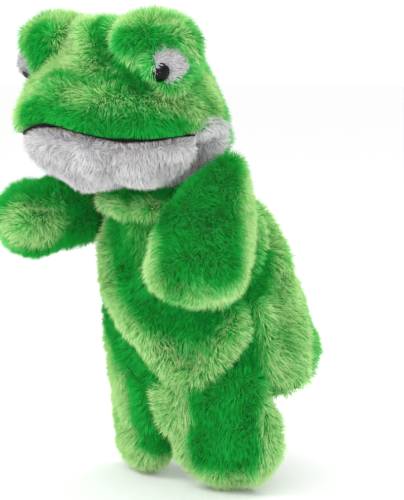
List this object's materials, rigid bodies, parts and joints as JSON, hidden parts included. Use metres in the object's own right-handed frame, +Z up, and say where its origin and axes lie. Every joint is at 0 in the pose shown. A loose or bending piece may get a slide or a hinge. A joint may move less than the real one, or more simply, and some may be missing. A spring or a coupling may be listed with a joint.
{
  "type": "hand puppet",
  "caption": "Plush frog hand puppet: lined arm sleeve, hollow head with an opening mouth, stuffed arms and legs sewn to the body.",
  "frame": {"origin": "centre of the arm opening, on the axis of the body sleeve", "axes": "+Z up, the frog faces -Y and leans forward, +X to the frog's left"},
  "size_m": [0.1903, 0.2027, 0.288],
  "materials": {
    "green_plush": "long-pile plush, two-tone",
    "white_plush": "short-pile plush",
    "mouth_lining": "matte woven cloth",
    "lining_cloth": "plain woven lining",
    "stuffing": "loose polyester fibre",
    "mouth_board": "flexible sheet",
    "eye_plastic": "polished",
    "washer_plastic": "moulded"
  },
  "bodies": {
    "sleeve": {"body_front_cover": "green_plush", "body_back_cover": "green_plush", "sleeve_lining": "lining_cloth", "hem_band_front": "green_plush", "hem_band_back": "green_plush"},
    "neck": {"neck_cover": "green_plush", "neck_lining": "lining_cloth"},
    "head_base": {"back_head_cover": "green_plush", "nape_cover": "green_plush", "cheek_left": "white_plush", "cheek_right": "white_plush", "crown_gusset": "green_plush", "throat_gusset": "white_plush", "mouth_hinge_strip": "mouth_lining"},
    "head": {"head_cover_top": "green_plush", "head_cover_left": "green_plush", "head_cover_right": "green_plush", "head_stuffing": "stuffing", "finger_pocket": "lining_cloth", "upper_mouth_board": "mouth_board", "upper_mouth_lining": "mouth_lining", "eye_bulge_cover_left": "green_plush", "eye_bulge_stuffing_left": "stuffing", "eye_white_left": "white_plush", "eye_left": "eye_plastic", "eye_washer_left": "washer_plastic", "eye_bulge_cover_right": "green_plush", "eye_bulge_stuffing_right": "stuffing", "eye_white_right": "white_plush", "eye_right": "eye_plastic", "eye_washer_right": "washer_plastic"},
    "jaw": {"chin_cover": "white_plush", "chin_stuffing": "stuffing", "thumb_pocket": "lining_cloth", "lower_mouth_board": "mouth_board", "lower_mouth_lining": "mouth_lining"},
    "arm_left": {"arm_cover_left": "green_plush", "arm_stuffing_left": "stuffing"},
    "arm_right": {"arm_cover_right": "green_plush", "arm_stuffing_right": "stuffing"},
    "leg_left": {"leg_cover_left": "green_plush", "leg_stuffing_left": "stuffing"},
    "leg_right": {"leg_cover_right": "green_plush", "leg_stuffing_right": "stuffing"}
  },
  "joints": [
    {"name": "head_turn", "type": "hinge", "parent": "sleeve", "child": "neck", "pos_m": [0, -0.04047, 0.11753], "axis": [0, -0.3256, 0.9455], "range_deg": [-20, 20]},
    {"name": "head_nod", "type": "hinge", "parent": "neck", "child": "head_base", "pos_m": [0, -0.04428, 0.12859], "axis": [-1, 0, 0], "range_deg": [-4, 18], "deforming": ["neck_cover", "neck_lining"]},
    {"name": "mouth_lift", "type": "hinge", "parent": "head_base", "child": "head", "pos_m": [0, -0.075, 0.155], "axis": [-1, 0, 0], "range_deg": [0, 22], "deforming": ["crown_gusset"]},
    {"name": "jaw_drop", "type": "hinge", "parent": "head_base", "child": "jaw", "pos_m": [0, -0.075, 0.155], "axis": [1, 0, 0], "range_deg": [0, 16], "deforming": ["throat_gusset"]},
    {"name": "arm_left_swing", "type": "hinge", "parent": "sleeve", "child": "arm_left", "pos_m": [0.0545, -0.0605, 0.112], "axis": [-0.7071, -0.7071, 0], "range_deg": [0, 55], "stiffness_Nm_per_rad": 0.3},
    {"name": "arm_right_swing", "type": "hinge", "parent": "sleeve", "child": "arm_right", "pos_m": [-0.0545, -0.0605, 0.112], "axis": [-0.7071, 0.7071, 0], "range_deg": [-38, 17], "stiffness_Nm_per_rad": 0.3},
    {"name": "leg_left_swing", "type": "hinge", "parent": "sleeve", "child": "leg_left", "pos_m": [0.036, -0.026, -0.008], "axis": [-0.8211, -0.5708, 0], "range_deg": [0, 50], "stiffness_Nm_per_rad": 0.1},
    {"name": "leg_right_swing", "type": "hinge", "parent": "sleeve", "child": "leg_right", "pos_m": [-0.036, -0.026, -0.008], "axis": [-0.8211, 0.5708, 0], "range_deg": [0, 50], "stiffness_Nm_per_rad": 0.1}
  ]
}
